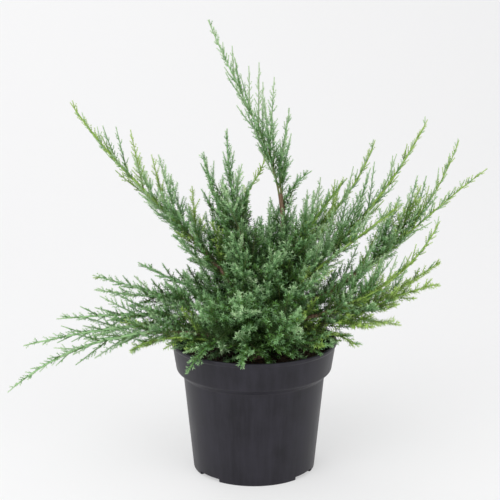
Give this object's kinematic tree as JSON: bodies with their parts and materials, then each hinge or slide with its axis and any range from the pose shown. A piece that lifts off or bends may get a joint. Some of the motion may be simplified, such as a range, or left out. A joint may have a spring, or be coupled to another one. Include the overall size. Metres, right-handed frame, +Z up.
{
  "type": "potted sea green juniper",
  "caption": "Spreading evergreen shrub with arching needle-clad plumes on a short trunk, growing in a round tapered nursery pot filled with soil.",
  "frame": {"origin": "middle of the pot's flat underside, on the surface it stands on", "axes": "+Z up along the pot's axis, -Y the front seen in the picture, +X to the right"},
  "size_m": [0.5214, 0.3382, 0.5112],
  "materials": {
    "pot_plastic": "moulded satin black",
    "potting_soil": "rough crumbled",
    "bark": "flaking bark",
    "needles": "matte waxy needles"
  },
  "bodies": {
    "root": {"back_bough": "bark", "back_foliage": "needles", "back_left_bough": "bark", "back_left_foliage": "needles", "back_low_foliage": "needles", "back_middle_foliage": "needles", "back_right_bough": "bark", "back_right_foliage": "needles", "back_right_low_bough": "bark", "back_right_low_foliage": "needles", "back_side_low_foliage": "needles", "front_heart_foliage": "needles", "front_left_foliage": "needles", "front_left_rim_foliage": "needles", "front_light_foliage": "needles", "front_low_foliage": "needles", "front_middle_foliage": "needles", "front_right_foliage": "needles", "front_right_high_foliage": "needles", "front_upper_foliage": "needles", "leader_bough": "bark", "leader_foliage": "needles", "leader_side_foliage": "needles", "left_flat_bough": "bark", "left_flat_foliage": "needles", "left_front_foliage": "needles", "left_high_bough": "bark", "left_high_foliage": "needles", "left_long_bough": "bark", "left_long_foliage": "needles", "left_longest_bough": "bark", "left_longest_foliage": "needles", "left_middle_bough": "bark", "left_middle_foliage": "needles", "left_rim_foliage": "needles", "left_upper_foliage": "needles", "pot": "pot_plastic", "right_back_bough": "bark", "right_back_foliage": "needles", "right_back_tall_bough": "bark", "right_back_tall_foliage": "needles", "right_curved_bough": "bark", "right_curved_foliage": "needles", "right_high_foliage": "needles", "right_long_bough": "bark", "right_long_foliage": "needles", "right_low_bough": "bark", "right_low_foliage": "needles", "right_lowest_foliage": "needles", "right_middle_bough": "bark", "right_middle_foliage": "needles", "right_rim_foliage": "needles", "right_upper_foliage": "needles", "soil": "potting_soil", "trunk": "bark", "upright_back_foliage": "needles", "upright_bough": "bark", "upright_cross_foliage": "needles", "upright_foliage": "needles", "upright_left_foliage": "needles"}
  },
  "joints": []
}
